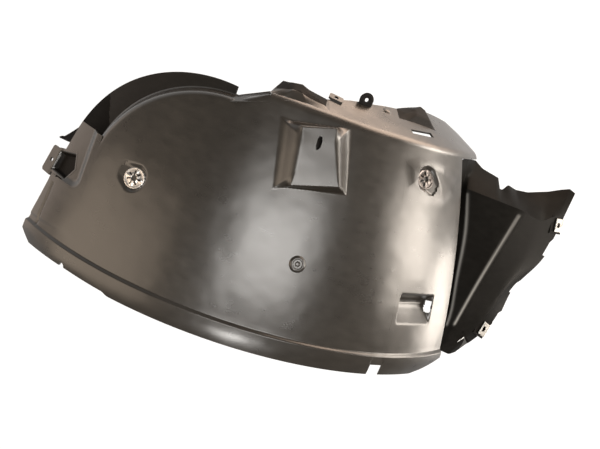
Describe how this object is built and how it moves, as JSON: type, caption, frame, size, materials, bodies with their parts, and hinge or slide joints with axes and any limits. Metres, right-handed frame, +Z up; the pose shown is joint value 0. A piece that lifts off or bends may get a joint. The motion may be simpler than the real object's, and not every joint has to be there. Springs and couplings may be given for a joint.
{
  "type": "wheel arch liner",
  "caption": "Moulded plastic wheel arch liner: a bowed barrel section with a raised pad, folded end panel, mounting ear, washer nuts and spring nuts",
  "frame": {"origin": "at the top of the outboard rim, straight over the wheel axis, which lies 350 mm below", "axes": "+Y along the wheel axis towards the middle of the car, +X forwards to the bumper, +Z up"},
  "size_m": [0.6835, 0.2971, 0.2825],
  "materials": {
    "plastic": "moulded, glossy with scuffs",
    "steel": "zinc plated"
  },
  "bodies": {
    "root": {"liner": "plastic", "tail_washer_nut": "steel", "front_washer_nut": "steel", "push_retainer": "plastic", "upper_spring_nut": "steel", "middle_spring_nut": "steel", "lower_spring_nut": "steel"}
  },
  "joints": []
}
